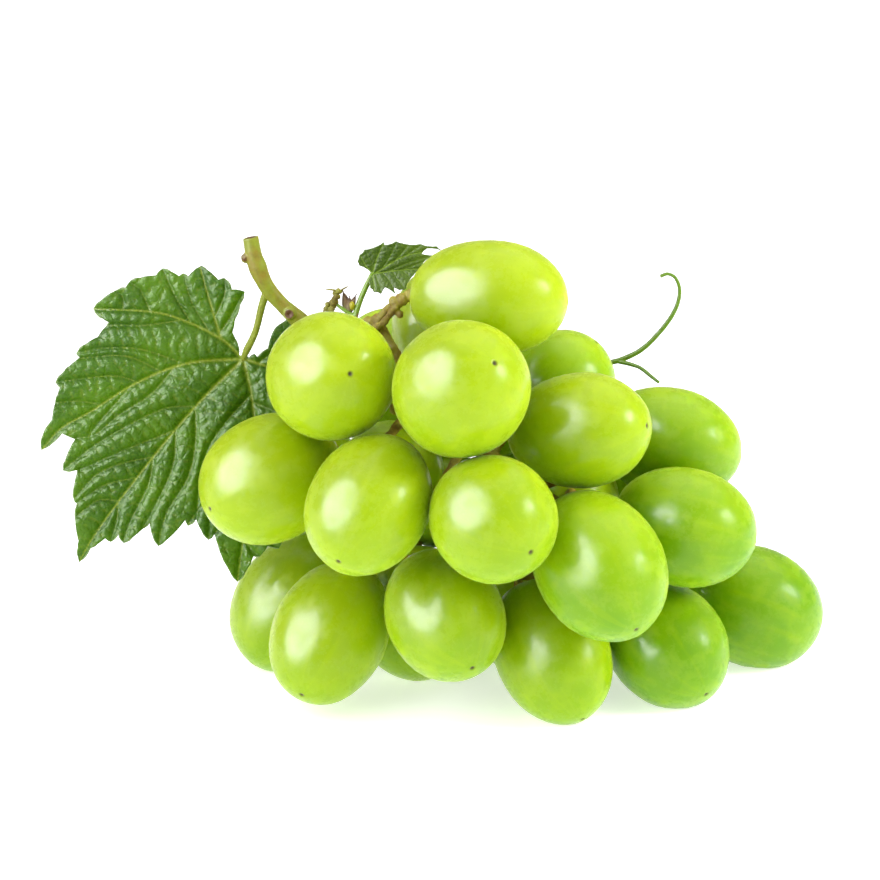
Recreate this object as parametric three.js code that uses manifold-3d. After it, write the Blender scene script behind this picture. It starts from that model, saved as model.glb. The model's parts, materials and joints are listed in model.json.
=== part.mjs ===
// Bunch of table grapes with a piece of cane, a leaf, a young side shoot and a tendril.
// Millimetres, +Z up. The bunch lies on the plane z = 0 and is seen from -Y.
import * as THREE from "three";
import { mergeVertices } from "three/addons/utils/BufferGeometryUtils.js";
import Module from "manifold-3d";

const wasm = await Module();
wasm.setup();

// ---------------------------------------------------------------- driving dimensions
const clearance = 0.3;          // gap left between neighbouring pieces
const pressDepth = 0.3;         // how far a grape on the ground is pressed flat
const grapeSides = 14;          // facets round a grape
const grapeRings = 8;           // facets from stem end to blossom end
const leanBack = 16;            // degrees that both leaves lean away from upright
const leafThickness = 1.2;
const smallLeafThickness = 0.8;
const axisRadius = 1.5;         // main axis of the bunch stalk
const lateralRadius = 1.0;
const pedicelRadius = 0.75;
const shoulderRadius = 1.4;     // gnarled stalk that shows above the bunch

// ---------------------------------------------------------------- finishes
const finishes = {
  grape: { color: 0xb4d422, roughness: 0.32 },
  greenGrape: { color: 0x8fbf1c, roughness: 0.3 },
  stalk: { color: 0x8c6a2c, roughness: 0.75 },
  cane: { color: 0xa9ad3c, roughness: 0.55 },
  leaf: { color: 0x3f8a22, roughness: 0.42 },
  leafStalk: { color: 0x9aae48, roughness: 0.5 },
  shoot: { color: 0x84b83a, roughness: 0.5 },
  bud: { color: 0xa08850, roughness: 0.7 },
  tendril: { color: 0x7fb832, roughness: 0.45 },
};

const bunch = new THREE.Group();

function addPiece(name, geometry, finish) {
  const material = new THREE.MeshStandardMaterial({ metalness: 0, ...finishes[finish] });
  const mesh = new THREE.Mesh(geometry, material);
  mesh.name = name;
  bunch.add(mesh);
  return mesh;
}

// ---------------------------------------------------------------- joining and cutting
function toSolid(geometry) {
  const bare = geometry.clone();
  bare.deleteAttribute("normal");
  bare.deleteAttribute("uv");
  const welded = mergeVertices(bare, 1e-3);
  const mesh = new wasm.Mesh({
    numProp: 3,
    vertProperties: Float32Array.from(welded.attributes.position.array),
    triVerts: Uint32Array.from(welded.index.array),
  });
  return new wasm.Manifold(mesh);
}

function toGeometry(solid) {
  const mesh = solid.getMesh();
  const geometry = new THREE.BufferGeometry();
  geometry.setAttribute("position", new THREE.BufferAttribute(mesh.vertProperties, 3));
  geometry.setIndex(new THREE.BufferAttribute(mesh.triVerts, 1));
  return geometry;
}

function largestPiece(solid) {
  const pieces = solid.decompose();
  return pieces.reduce((big, piece) => (piece.volume() > big.volume() ? piece : big));
}

function joined(solids) {
  return solids.reduce((whole, solid) => whole.add(solid));
}

function cutAway(solid, others) {
  return largestPiece(others.reduce((rest, other) => rest.subtract(other), solid));
}

const vec = (point) => new THREE.Vector3(...point);

// A round stem through the points, with flat ends.
function stem(points, radius, sides = 7, stepsPerSpan = 2) {
  const section = new THREE.Shape();
  for (let i = 0; i < sides; i += 1) {
    const turn = (2 * Math.PI * i) / sides;
    const corner = [radius * Math.cos(turn), radius * Math.sin(turn)];
    if (i === 0) section.moveTo(...corner);
    else section.lineTo(...corner);
  }
  const path = new THREE.CatmullRomCurve3(points.map(vec), false, "centripetal");
  const steps = (points.length - 1) * stepsPerSpan;
  return new THREE.ExtrudeGeometry(section, { steps, extrudePath: path, bevelEnabled: false });
}

// ---------------------------------------------------------------- grapes
// Each grape: centre, length, width, and where its blossom end points.
// heading is in degrees from +X towards +Y, dip in degrees below level.
const frontGrapes = [
  { at: [9.5, -1, 84], long: 31.5, wide: 22.5, heading: -10, dip: 0, finish: "grape" },
  { at: [4, -22.5, 71], long: 28, wide: 26, heading: -58, dip: -33, finish: "grape" },
  { at: [-21.5, -9, 70], long: 28, wide: 25, heading: -72, dip: -16, finish: "grape" },
  { at: [1.5, 19.5, 71.5], long: 27, wide: 22, heading: 143, dip: -74, finish: "grape" },
  { at: [-10.5, 34.5, 59], long: 27, wide: 23, heading: 150, dip: -83, finish: "greenGrape" },
  { at: [27.5, -7, 58.5], long: 29.5, wide: 22.5, heading: -28, dip: -11, finish: "grape" },
  { at: [24, 16.5, 60.5], long: 25, wide: 22, heading: -3, dip: -52, finish: "greenGrape" },
  { at: [-33, -3, 47.5], long: 30, wide: 25, heading: -142, dip: 14, finish: "grape" },
  { at: [-13.5, -22.5, 48], long: 30.5, wide: 23.5, heading: -115, dip: 30, finish: "grape" },
  { at: [10, -28.5, 47], long: 26, wide: 24, heading: -56, dip: 15, finish: "grape" },
  { at: [-10.5, 5, 46], long: 24, wide: 21, heading: -90, dip: -23, finish: "greenGrape" },
  { at: [47, 18.5, 48.5], long: 29.5, wide: 22.5, heading: -10, dip: 10, finish: "greenGrape" },
  { at: [49, -2, 37], long: 29, wide: 23.5, heading: -10, dip: 12, finish: "greenGrape" },
  { at: [31, -21, 35], long: 32, wide: 25, heading: -59, dip: 35, finish: "greenGrape" },
  { at: [1, -15, 23], long: 28.5, wide: 23, heading: -64, dip: 30, finish: "grape" },
  { at: [-22, -4.5, 15.5], long: 31.5, wide: 23, heading: -115, dip: 35, finish: "grape" },
  { at: [-23, 28, 37], long: 22, wide: 20, heading: 170, dip: -20, finish: "greenGrape" },
];
const groundGrapes = [
  { at: [65.5, 22.5, 13], long: 30, wide: 24.5, heading: 3, dip: 20, finish: "greenGrape" },
  { at: [46, 0, 12], long: 28.5, wide: 23, heading: -53, dip: 27, finish: "greenGrape" },
  { at: [22.5, -8.5, 13.5], long: 31, wide: 22.5, heading: -58, dip: 41, finish: "grape" },
  { at: [-5, 14.5, 13.5], long: 28, wide: 23.5, heading: -90, dip: 61, finish: "grape" },
  { at: [-30.5, 21, 14], long: 31, wide: 24, heading: -147, dip: 45, finish: "grape" },
  { at: [17, 18, 12], long: 24, wide: 21, heading: 80, dip: 40, finish: "greenGrape", loose: true },
  { at: [40, 24, 12], long: 25, wide: 22, heading: 60, dip: 45, finish: "greenGrape", loose: true },
  { at: [-15, 40, 12], long: 27, wide: 22, heading: 120, dip: 15, finish: "greenGrape", loose: true },
  { at: [8, 42, 12], long: 28, wide: 22, heading: 95, dip: 10, finish: "greenGrape", loose: true },
  { at: [31, 45, 12], long: 27, wide: 22, heading: 80, dip: 15, finish: "greenGrape", loose: true },
  { at: [54, 44, 12], long: 28, wide: 23, heading: 50, dip: 12, finish: "greenGrape", loose: true },
];
const innerGrapes = [
  { at: [10, -2, 37], long: 22, wide: 19, heading: -80, dip: 40, finish: "greenGrape", loose: true },
  { at: [26, 18, 37], long: 24, wide: 20, heading: 90, dip: 20, finish: "greenGrape", loose: true },
  { at: [-2, 28, 34], long: 27, wide: 21, heading: 110, dip: -5, finish: "greenGrape", loose: true },
  { at: [21, 39, 33], long: 28, wide: 22, heading: 85, dip: -10, finish: "greenGrape", loose: true },
  { at: [44, 38, 32], long: 27, wide: 22, heading: 60, dip: 0, finish: "greenGrape", loose: true },
  { at: [12, 38, 53], long: 27, wide: 22, heading: 80, dip: -40, finish: "greenGrape", loose: true },
];
groundGrapes.forEach((grape) => { grape.ground = true; });
const grapes = [...frontGrapes, ...innerGrapes, ...groundGrapes];

const radians = THREE.MathUtils.degToRad;
for (const grape of grapes) {
  const flat = Math.cos(radians(grape.dip));
  grape.centre = vec(grape.at);
  grape.axis = new THREE.Vector3(
    flat * Math.cos(radians(grape.heading)),
    flat * Math.sin(radians(grape.heading)),
    -Math.sin(radians(grape.dip)),
  );
}

// How far a grape reaches from its centre in a direction, and how that changes with the direction.
function reach(grape, way) {
  const across = (grape.wide / 2) ** 2;
  const extra = (grape.long / 2) ** 2 - across;
  const along = grape.axis.dot(way);
  const distance = Math.sqrt(across + extra * along * along);
  const touch = way.clone().multiplyScalar(across).addScaledVector(grape.axis, extra * along);
  return { distance, touch: touch.divideScalar(distance) };
}

// The room between two grapes, negative where they overlap, and the direction it is measured in.
function roomBetween(a, b) {
  const span = b.centre.clone().sub(a.centre);
  const way = span.clone().normalize();
  let best = { room: -Infinity };
  for (let step = 0; step < 60; step += 1) {
    const fromA = reach(a, way);
    const fromB = reach(b, way);
    const room = span.dot(way) - fromA.distance - fromB.distance;
    if (room > best.room) best = { room, way: way.clone() };
    const pull = span.clone().sub(fromA.touch).sub(fromB.touch);
    way.addScaledVector(pull, 0.03).normalize();
  }
  return best;
}

// Grapes push each other apart until none overlaps: the loose ones at the back and inside give way most.
const settleRounds = 80;
const stiffShare = 0.15;
for (let round = 0; round < settleRounds; round += 1) {
  grapes.forEach((a, index) => {
    for (const b of grapes.slice(index + 1)) {
      if (a.centre.distanceTo(b.centre) > (a.long + b.long) / 2 + clearance) continue;
      const { room, way } = roomBetween(a, b);
      const missing = clearance - room;
      if (missing <= 0) continue;
      const giveA = a.loose ? 1 : stiffShare;
      const giveB = b.loose ? 1 : stiffShare;
      const share = missing / (giveA + giveB);
      a.centre.addScaledVector(way, -share * giveA);
      b.centre.addScaledVector(way, share * giveB);
    }
  });
  for (const grape of grapes) {
    const low = reach(grape, new THREE.Vector3(0, 0, -1)).distance;
    if (grape.ground) grape.centre.z = low - pressDepth;
    else grape.centre.z = Math.max(grape.centre.z, low + 1);
  }
}

// An oval turned round its long axis, with the blossom end towards +Y of its own frame.
function ovalGeometry(grape, margin = 0) {
  const profile = [];
  for (let i = 0; i <= grapeRings; i += 1) {
    const turn = (Math.PI * i) / grapeRings - Math.PI / 2;
    const r = i === 0 || i === grapeRings ? 0 : (grape.wide / 2 + margin) * Math.cos(turn);
    profile.push(new THREE.Vector2(r, (grape.long / 2 + margin) * Math.sin(turn)));
  }
  return new THREE.LatheGeometry(profile, grapeSides);
}

function placed(geometry, grape) {
  const turn = new THREE.Quaternion().setFromUnitVectors(new THREE.Vector3(0, 1, 0), grape.axis);
  geometry.applyQuaternion(turn);
  geometry.translate(grape.centre.x, grape.centre.y, grape.centre.z);
  return geometry;
}

const worldSize = 400;
const groundBlock = toSolid(new THREE.BoxGeometry(worldSize, worldSize, worldSize)
  .translate(0, 0, -worldSize / 2));

grapes.forEach((grape, index) => {
  const name = `grape_${String(index + 1).padStart(2, "0")}`;
  if (grape.ground) {
    const pressed = toSolid(placed(ovalGeometry(grape), grape)).subtract(groundBlock);
    addPiece(name, toGeometry(pressed), grape.finish);
  } else {
    const mesh = addPiece(name, ovalGeometry(grape), grape.finish);
    mesh.position.copy(grape.centre);
    mesh.quaternion.setFromUnitVectors(new THREE.Vector3(0, 1, 0), grape.axis);
  }
});
const grapeRooms = grapes.map((grape) => toSolid(placed(ovalGeometry(grape, clearance), grape)));

// ---------------------------------------------------------------- cane
const canePath = [
  [-38, 13, 93], [-37, 12.8, 88], [-34.3, 13, 82], [-29, 13.5, 76.3], [-24, 14, 72.2], [-20, 14.5, 70],
];
const caneRadius = 1.6;
const caneNodes = [[canePath[1], 2.1], [canePath[3], 2.1], [canePath[4], 2.3]];

function caneSolid(margin) {
  const swellings = caneNodes.map(([at, radius]) => {
    const ball = new THREE.SphereGeometry(radius + margin, 9, 6).translate(...at);
    return toSolid(ball);
  });
  return joined([toSolid(stem(canePath, caneRadius + margin, 9)), ...swellings]);
}
addPiece("cane", toGeometry(caneSolid(0)), "cane");
const caneRoom = caneSolid(clearance);

// ---------------------------------------------------------------- stalk of the bunch
// The peduncle leaves the cane, humps over the shoulder and runs down through the bunch.
const knot = [-12.5, 6.5, 77.5];
const pedunclePath = [[-24, 14, 72.2], [-18, 10.5, 74], knot];
const axisPath = [
  knot, [-9.5, 5, 72], [-4, 1.5, 63], [6, -2.5, 56], [19, -5, 46], [30, 2, 36], [37, 6, 28], [40, 10, 25],
];
const laterals = [
  [knot, [-9.5, 4.5, 81], [-6.6, 1, 83.2]],
  [[-4, 1.5, 63], [4, 7, 58], [12, 25.5, 59], [17, 29.5, 62]],
  [[6, -2.5, 56], [0, 16, 56], [1, 24, 46]],
  [[19, -5, 46], [36, 8, 48], [37, 30, 46]],
  [[-4, 1.5, 63], [-12, -8, 56], [-22, -8, 52]],
  [[6, -2.5, 56], [-3, -8, 42], [-10, -2, 30], [-14, 8, 26]],
  [[30, 2, 36], [24, 4, 26], [6, 2, 24]],
  [[37, 6, 28], [33, 12, 25], [30, 33, 22]],
];

const stemEnd = (grape) => grape.centre.clone().addScaledVector(grape.axis, -grape.long / 2 - 0.2);

// The places along the stalk where a pedicel can leave it.
const leavingPoints = [];
for (const path of [axisPath, ...laterals]) {
  const curve = new THREE.CatmullRomCurve3(path.map(vec), false, "centripetal");
  leavingPoints.push(...curve.getPoints(path.length * 3));
}

function pedicel(grape) {
  const end = stemEnd(grape);
  const inward = end.clone().addScaledVector(grape.axis, -1.5);
  const nearest = leavingPoints.reduce((a, b) => (b.distanceTo(inward) < a.distanceTo(inward) ? b : a));
  const path = [nearest.toArray(), inward.toArray(), end.toArray()];
  return toSolid(stem(path, pedicelRadius, 5, 1));
}

const stalkParts = [
  toSolid(stem(pedunclePath, shoulderRadius)),
  toSolid(stem(axisPath, axisRadius, 6, 1)),
  toSolid(new THREE.SphereGeometry(2, 8, 6).translate(...knot)),
  ...laterals.map((path) => toSolid(stem(path, lateralRadius, 5, 1))),
  ...grapes.map(pedicel),
];
const stalk = cutAway(joined(stalkParts), [...grapeRooms, caneRoom, groundBlock]);
addPiece("stalk", toGeometry(stalk), "stalk");

// ---------------------------------------------------------------- leaves
// A blade is a flat outline, bowed by a height over its own plane.
function blade(outline, thickness, bow) {
  const shape = new THREE.Shape(outline.map(([u, v]) => new THREE.Vector2(u, v)));
  const geometry = new THREE.ExtrudeGeometry(shape, { depth: thickness, bevelEnabled: false });
  geometry.translate(0, 0, -thickness / 2);
  const places = geometry.attributes.position;
  for (let i = 0; i < places.count; i += 1) {
    places.setZ(i, places.getZ(i) + bow(places.getX(i), places.getY(i)));
  }
  return geometry;
}

function stood(geometry, base, growth = 1) {
  geometry.scale(growth, growth, 1);
  geometry.rotateX(radians(90 - leanBack));
  geometry.translate(...base);
  return geometry;
}

// Tips of the teeth and the notches between them, from the leaf stalk round by the left.
const leafOutline = [
  [-0.7, 0.7], [-2, 5.2], [-1.6, 8], [-0.7, 10.7], [0.4, 13.3],
  [-2.1, 13.7], [-3.6, 15.9], [-4.8, 15.6], [-8.3, 18.4], [-10.8, 16.2],
  [-11.8, 16.8], [-12.5, 16.3], [-15.8, 17.8], [-17, 16.4], [-22.1, 15.2],
  [-23, 13.8], [-24.9, 13.4], [-29.6, 9.8], [-26.2, 7], [-28.5, 4.2],
  [-32.6, 1], [-31.8, 0.1], [-36.6, -4.7], [-35.6, -5.7], [-37.3, -12.2],
  [-39.1, -14.9], [-39.8, -18.2], [-35.6, -14.7], [-32.8, -15.9], [-35.3, -22.1],
  [-32.3, -22.1], [-33.2, -27.9], [-32.6, -28.6], [-32.3, -36.1], [-32.6, -40.5],
  [-30.3, -37.6], [-27.1, -35.6], [-26.1, -36.3], [-24.6, -34.6], [-23.6, -36.5],
  [-20, -34], [-18.4, -32.3], [-16.7, -37.2], [-11.2, -31.8], [-10.9, -33.1],
  [-9.2, -31.8], [-6.8, -36], [-5.6, -34.8], [-1.3, -44.5], [2.1, -39.1],
  [3.2, -39.3], [5, -37.1], [7.1, -37.7], [8, -33], [10.5, -30],
  [9.5, -26], [13, -22], [12, -17], [16, -12], [14.5, -8],
  [18.5, -3], [16, 1], [16.5, 5], [10.7, 8.5], [6.5, 6.2],
  [5, 2], [3, 0.2], [2.2, 0.9], [1.2, 0],
];
const leafBase = [-40.2, 18, 66.6];
const leafGrowth = 1.028;
const leafBow = (u, v) => -0.12 * u - 0.0012 * v * v;

const smallLeafOutline = [
  [-0.7, 0.7], [-2.6, 1.6], [-3, 2.5], [-2.5, 3.7], [-1.5, 4.7],
  [2.3, 6.2], [2.4, 5.7], [4.8, 6.4], [9.8, 5.9], [13, 5.5],
  [14.1, 4.7], [11, 5.1], [9.9, 4.1], [12.3, 3.7], [10.4, 2.5],
  [9.5, 1], [8, -0.5], [6.6, -3.1], [5.4, -3.3], [4.3, -2.8],
  [4.7, -4], [2.5, -2.7], [1.8, -4], [0.4, -3.6], [-0.4, -2.8],
  [-0.7, -1.6], [-0.1, -0.3],
];
const smallLeafBase = [-14.1, 14, 85.6];
const smallLeafBow = (u, v) => 0.25 * Math.abs(v - 0.1 * u) - 0.1 * u;

// Leaf stalks run to the back of the blade, so that the blade stays whole.
const leafStalkPath = [
  [-34.5, 13.2, 83], [-35.9, 14.3, 78.8], [-37.4, 15.5, 73], [-39.6, 17.5, 68], [-40.3, 19.2, 65.6],
];
const smallLeafStalkPath = [[-18, 11, 75.4], [-16.8, 13, 79.5], [-14.8, 14.8, 84.2], [-14, 15.4, 86]];
const leafStalkRadius = 0.75;
const smallLeafStalkRadius = 0.6;

const leafBlade = toSolid(stood(blade(leafOutline, leafThickness, leafBow), leafBase, leafGrowth));
const smallBlade = toSolid(stood(blade(smallLeafOutline, smallLeafThickness, smallLeafBow), smallLeafBase));
const leafStalkRoom = toSolid(stem(leafStalkPath, leafStalkRadius + clearance, 8));
const smallStalkRoom = toSolid(stem(smallLeafStalkPath, smallLeafStalkRadius + clearance, 7));
addPiece("leaf_blade", toGeometry(cutAway(leafBlade, [leafStalkRoom])), "leaf");
addPiece("small_leaf_blade", toGeometry(cutAway(smallBlade, [smallStalkRoom])), "leaf");

const leafStalk = toSolid(stem(leafStalkPath, leafStalkRadius, 8));
addPiece("leaf_stalk", toGeometry(cutAway(leafStalk, [caneRoom])), "leafStalk");

// ---------------------------------------------------------------- side shoot, flower cluster, bud
// A room for the stalk: the stalk itself moved a little along each axis.
function widened(solid) {
  const shifts = [[1, 0, 0], [-1, 0, 0], [0, 1, 0], [0, -1, 0], [0, 0, 1], [0, 0, -1]];
  return joined(shifts.map((shift) => solid.translate(shift.map((part) => part * clearance))));
}
const stalkMargin = widened(toSolid(stem(pedunclePath, shoulderRadius)))
  .add(toSolid(new THREE.SphereGeometry(2 + clearance, 8, 6).translate(...knot)));
const neighbours = [caneRoom, stalkMargin, ...grapeRooms];

const smallLeafStalk = toSolid(stem(smallLeafStalkPath, smallLeafStalkRadius, 7));
addPiece("small_leaf_stalk", toGeometry(cutAway(smallLeafStalk, neighbours)), "shoot");

const shootPath = [[-17.2, 12, 77.4], [-19, 12.3, 78], [-21, 12.8, 79.4]];
const shoot = toSolid(stem(shootPath, 0.45, 6));
const clusterPath = [[-23.8, 13.2, 75], [-22.4, 13.2, 78], [-21.4, 13, 80.4], [-20.2, 13, 82.2]];
const cluster = toSolid(stem(clusterPath, 0.95, 7));
const clusterRoom = toSolid(stem(clusterPath, 0.95 + clearance, 7));
addPiece("flower_cluster", toGeometry(cutAway(cluster, neighbours)), "bud");
addPiece("side_shoot", toGeometry(cutAway(shoot, [...neighbours, smallStalkRoom, clusterRoom])), "shoot");

const budProfile = [[0, 0], [1, 0.5], [1.2, 1.6], [0.8, 3], [0, 4.4]];
const bud = new THREE.LatheGeometry(budProfile.map(([r, y]) => new THREE.Vector2(r, y)), 8);
bud.rotateX(Math.PI / 2);
bud.translate(-18.4, 13.8, 78);
const shootRoom = toSolid(stem(shootPath, 0.45 + clearance, 6));
addPiece("bud", toGeometry(cutAway(toSolid(bud), [...neighbours, smallStalkRoom, clusterRoom, shootRoom])), "bud");

// ---------------------------------------------------------------- tendril
const tendrilRadius = 0.55;
const fork = [37.5, 29, 63.5];
const tendrilPaths = [
  [
    [20, 31, 62.5], [28, 30.5, 61.5], [33.5, 29.5, 62.5], fork, [42, 28.5, 66], [46, 28.5, 70.3],
    [48.6, 28.5, 74.5], [49.4, 29, 78], [48.6, 29.5, 80.6], [47, 30, 81.5], [45.4, 30, 81],
  ],
  [fork, [41, 26.5, 62.6], [43.8, 24, 61], [45, 22.5, 60.4]],
];
const tendril = joined(tendrilPaths.map((path) => toSolid(stem(path, tendrilRadius, 6))));
addPiece("tendril", toGeometry(cutAway(tendril, [...grapeRooms, widened(stalk)])), "tendril");

// ---------------------------------------------------------------- origin under the middle of the bunch
const box = new THREE.Box3().setFromObject(bunch, true);
const middle = box.getCenter(new THREE.Vector3());
bunch.position.set(-middle.x, -middle.y, -box.min.z);

export default bunch;
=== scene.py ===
import json
import math
import random

import bmesh
import bpy
import numpy as np
from mathutils import Matrix, Vector, kdtree, noise


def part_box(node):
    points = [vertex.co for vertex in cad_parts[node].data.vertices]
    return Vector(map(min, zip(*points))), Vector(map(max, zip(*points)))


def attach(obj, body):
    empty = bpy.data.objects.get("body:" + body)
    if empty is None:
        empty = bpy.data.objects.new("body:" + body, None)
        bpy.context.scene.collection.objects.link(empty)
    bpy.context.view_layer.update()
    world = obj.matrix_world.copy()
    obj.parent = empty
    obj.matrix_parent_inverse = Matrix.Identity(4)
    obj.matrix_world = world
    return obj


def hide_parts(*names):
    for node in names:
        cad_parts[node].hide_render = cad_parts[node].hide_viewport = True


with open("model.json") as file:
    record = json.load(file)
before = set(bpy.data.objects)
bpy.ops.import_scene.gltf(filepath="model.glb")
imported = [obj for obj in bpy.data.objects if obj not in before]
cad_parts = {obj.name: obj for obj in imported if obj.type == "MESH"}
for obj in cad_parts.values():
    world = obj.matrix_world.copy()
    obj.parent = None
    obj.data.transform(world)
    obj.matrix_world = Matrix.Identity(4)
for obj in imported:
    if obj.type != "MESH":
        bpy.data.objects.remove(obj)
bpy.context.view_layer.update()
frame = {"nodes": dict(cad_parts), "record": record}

mm = 0.001
slotOf = {row["node"]: row["material_slot"] for row in frame["record"]["subparts"]}
noise.seed_set(5)    # else noise_vector is seeded by the clock


# Pieces and their meshes

def newPiece(name, bm, materials, node, *otherNodes):
    mesh = bpy.data.meshes.new(name)
    bm.to_mesh(mesh)
    bm.free()
    for polygon in mesh.polygons:
        polygon.use_smooth = True
    piece = bpy.data.objects.new(name, mesh)
    bpy.context.scene.collection.objects.link(piece)
    for material in materials:
        mesh.materials.append(material)
    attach(piece, "root")
    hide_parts(node, *otherNodes)
    return piece


def writeAttribute(piece, label, values):
    # one number or one vector for each vertex
    values = np.array(values, np.float32)
    kind, field = ("FLOAT", "value") if values.ndim == 1 else ("FLOAT_VECTOR", "vector")
    attribute = piece.data.attributes.new(label, kind, "POINT")
    attribute.data.foreach_set(field, values.ravel())


def wobble(place, size, amount, seed=0.0):
    # smooth unevenness, which changes over about size metres
    return noise.noise_vector(place / size + Vector((seed, seed * 1.7, -seed))) * amount


def curveThrough(points, spacing):
    # points along a smooth curve through the given ones, about spacing apart
    points = [Vector(p) for p in points]
    padded = [2 * points[0] - points[1], *points, 2 * points[-1] - points[-2]]
    places = []
    for a, b, c, d in zip(padded, padded[1:], padded[2:], padded[3:]):
        steps = max(1, round((c - b).length / spacing))
        for step in range(steps):
            t = step / steps
            places.append(0.5 * (2 * b + (c - a) * t + (2 * a - 5 * b + 4 * c - d) * t ** 2
                                 + (3 * b - a - 3 * c + d) * t ** 3))
    return [*places, points[-1]]


def growStem(bm, points, radiusAt, sides=12, spacing=0.5 * mm, roughness=0.0, seed=0.0):
    # a round stem grown ring by ring along the points; radiusAt takes the share of the way along.
    # returns the path it grew along
    path = curveThrough(points, spacing)
    heading = (path[1] - path[0]).normalized()
    turn = heading.to_track_quat("Z", "Y")
    radius = radiusAt(0)
    matrix = Matrix.Translation(path[0]) @ turn.to_matrix().to_4x4() @ Matrix.Scale(radius, 4)
    ring = bmesh.ops.create_circle(bm, cap_ends=True, segments=sides, radius=1, matrix=matrix)["verts"]
    grown = list(ring)
    edges = list(ring[0].link_faces[0].edges)
    for index, place in enumerate(path[1:], 1):
        ahead = path[min(index + 1, len(path) - 1)] - path[index - 1]
        turn = heading.rotation_difference(ahead.normalized()) @ turn
        heading = ahead.normalized()
        radius = radiusAt(index / (len(path) - 1))
        goal = Matrix.Translation(place) @ turn.to_matrix().to_4x4() @ Matrix.Scale(radius, 4)
        made = bmesh.ops.extrude_edge_only(bm, edges=edges)["geom"]
        ring = [g for g in made if isinstance(g, bmesh.types.BMVert)]
        edges = [g for g in made if isinstance(g, bmesh.types.BMEdge)]
        bmesh.ops.transform(bm, matrix=goal @ matrix.inverted(), verts=ring)
        matrix = goal
        grown += ring
    bmesh.ops.contextual_create(bm, geom=edges)
    for v in grown:
        v.co += wobble(v.co, 1.3 * mm, roughness, seed) + wobble(v.co, 4 * mm, roughness, seed + 9)
    return path


def taper(*stops):
    # radius in mm at shares of the way along, joined by smooth steps
    def radiusAt(share):
        for (a, low), (b, high) in zip(stops, stops[1:]):
            if share <= b:
                t = max(0, (share - a) / (b - a))
                return (low + (high - low) * t * t * (3 - 2 * t)) * mm
        return stops[-1][1] * mm
    return radiusAt


def addKnob(bm, place, radius, squash=(1, 1, 1), roughness=0.0, seed=0.0):
    matrix = Matrix.Translation(place) @ Matrix.Diagonal((*squash, 1))
    verts = bmesh.ops.create_icosphere(bm, subdivisions=3, radius=radius, matrix=matrix)["verts"]
    for v in verts:
        v.co += wobble(v.co, 0.7 * mm, roughness, seed)


def dropSpecks(bm):
    # deletes loose bits, which have few vertices
    fewest = 200
    unseen = set(bm.verts)
    while unseen:
        island = [unseen.pop()]
        for v in island:
            for edge in v.link_edges:
                other = edge.other_vert(v)
                if other in unseen:
                    unseen.remove(other)
                    island.append(other)
        if len(island) < fewest:
            bmesh.ops.delete(bm, geom=island, context="VERTS")


def fuse(piece, voxel, smoothing=2, lump=0.0):
    # overlapping stems become one skin, with small lumps
    remesh = piece.modifiers.new("fuse", "REMESH")
    remesh.mode = "VOXEL"
    remesh.voxel_size = voxel
    remesh.use_smooth_shade = True
    graph = bpy.context.evaluated_depsgraph_get()
    fused = bpy.data.meshes.new_from_object(piece.evaluated_get(graph))
    piece.modifiers.clear()
    bm = bmesh.new()
    bm.from_mesh(fused)
    dropSpecks(bm)
    for _ in range(smoothing):
        bmesh.ops.smooth_vert(bm, verts=bm.verts, factor=0.5,
                              use_axis_x=True, use_axis_y=True, use_axis_z=True)
    bm.normal_update()
    for v in bm.verts:
        v.co += v.normal * noise.noise(v.co / (0.55 * mm)) * lump
    bm.to_mesh(piece.data)
    bm.free()
    for polygon in piece.data.polygons:
        polygon.use_smooth = True
    bpy.data.meshes.remove(fused)


def nearness(piece, marks):
    # for each vertex, 1 well inside a mark and 0 beyond 1.6 times its radius; a mark is (place, radius)
    places = np.array([v.co for v in piece.data.vertices])
    near = np.zeros(len(places))
    for place, radius in marks:
        gap = np.linalg.norm(places - np.array(place), axis=1) / radius
        near = np.maximum(near, np.clip(1.6 - gap, 0, 1))
    return near


# Node work that the materials share

def newMaterial(name, **sockets):
    material = bpy.data.materials.new(name)
    material.use_nodes = True
    shader = material.node_tree.nodes["Principled BSDF"]
    for socket, value in sockets.items():
        shader.inputs[socket.replace("_", " ")].default_value = value
    return material, material.node_tree, shader


def feed(tree, socket, value):
    if hasattr(value, "links"):
        tree.links.new(value, socket)
    elif socket.type == "RGBA":
        socket.default_value = (*value, 1)
    else:
        socket.default_value = value


def mixColours(tree, factor, low, high):
    node = tree.nodes.new("ShaderNodeMix")
    node.data_type = "RGBA"
    sockets = {s.identifier: s for s in node.inputs}
    feed(tree, sockets["Factor_Float"], factor)
    feed(tree, sockets["A_Color"], low)
    feed(tree, sockets["B_Color"], high)
    return next(s for s in node.outputs if s.identifier == "Result_Color")


def between(tree, value, low, high, most=1.0, least=0.0):
    # least up to low, rising smoothly to most at high
    node = tree.nodes.new("ShaderNodeMapRange")
    node.interpolation_type = "SMOOTHSTEP"
    for label, number in zip(("From Min", "From Max", "To Min", "To Max"), (low, high, least, most)):
        node.inputs[label].default_value = number
    tree.links.new(value, node.inputs["Value"])
    return node.outputs["Result"]


def combine(tree, operation, first, second, third=0.0):
    node = tree.nodes.new("ShaderNodeMath")
    node.operation = operation
    for socket, value in zip(node.inputs, (first, second, third)):
        feed(tree, socket, value)
    return node.outputs["Value"]


def readAttribute(tree, label, output="Fac"):
    node = tree.nodes.new("ShaderNodeAttribute")
    node.attribute_name = label
    return node.outputs[output]


def objectPlace(tree):
    return tree.nodes.new("ShaderNodeTexCoord").outputs["Object"]


def noiseOn(tree, vector, scale, detail=3.0, roughness=0.5):
    node = tree.nodes.new("ShaderNodeTexNoise")
    for label, value in (("Scale", scale), ("Detail", detail), ("Roughness", roughness)):
        node.inputs[label].default_value = value
    tree.links.new(vector, node.inputs["Vector"])
    return node.outputs["Fac"]


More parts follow.
